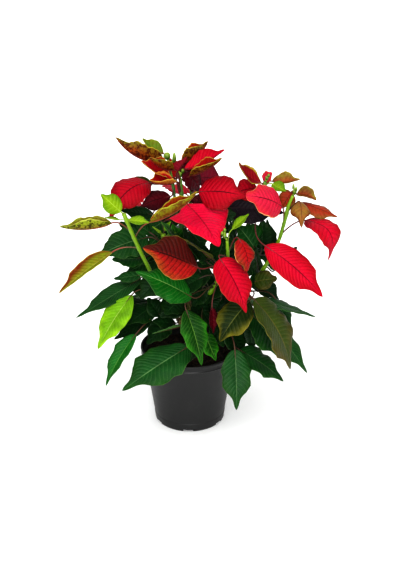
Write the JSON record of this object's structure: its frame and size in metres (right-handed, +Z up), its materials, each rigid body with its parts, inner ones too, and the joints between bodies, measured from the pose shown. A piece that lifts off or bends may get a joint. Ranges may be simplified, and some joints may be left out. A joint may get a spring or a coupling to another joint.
{
  "type": "poinsettia",
  "caption": "Bushy potted poinsettia: red and bronze bracts over dark green leaves on branching green stems, in a plain tapered dark plastic nursery pot.",
  "frame": {"origin": "centre of the pot's flat base, on the surface it stands on", "axes": "+Z up along the plant, -Y towards the plant's front, +X to the right as seen from the front"},
  "size_m": [0.3457, 0.2856, 0.3862],
  "materials": {
    "pot": "satin charcoal, moulded",
    "soil": "moist dark peat, matt",
    "bark": "greenish brown bark, matt",
    "leaf": "dark green leaf, softly glossy",
    "bract": "crimson bract, satin",
    "cyathia": "yellow green, satin"
  },
  "bodies": {
    "root": {"pot": "pot", "soil": "soil", "trunk": "bark", "west_leaves": "leaf", "centre_leaves": "leaf", "centre_bracts": "bract", "east_leaves": "leaf", "east_bracts": "bract", "inner_leaves": "leaf", "inner_bracts": "bract", "crown_leaves": "leaf", "crown_bracts": "bract", "young_leaves": "leaf", "back_left_leaves": "leaf", "back_left_bracts": "bract", "back_right_leaves": "leaf", "back_right_bracts": "bract", "back_middle_leaves": "leaf", "back_middle_bracts": "bract", "crown_cyathia": "cyathia", "crown_left_cyathia": "cyathia", "crown_right_cyathia": "cyathia", "centre_cyathia": "cyathia", "east_cyathia": "cyathia", "inner_cyathia": "cyathia", "back_middle_cyathia": "cyathia"}
  },
  "joints": []
}
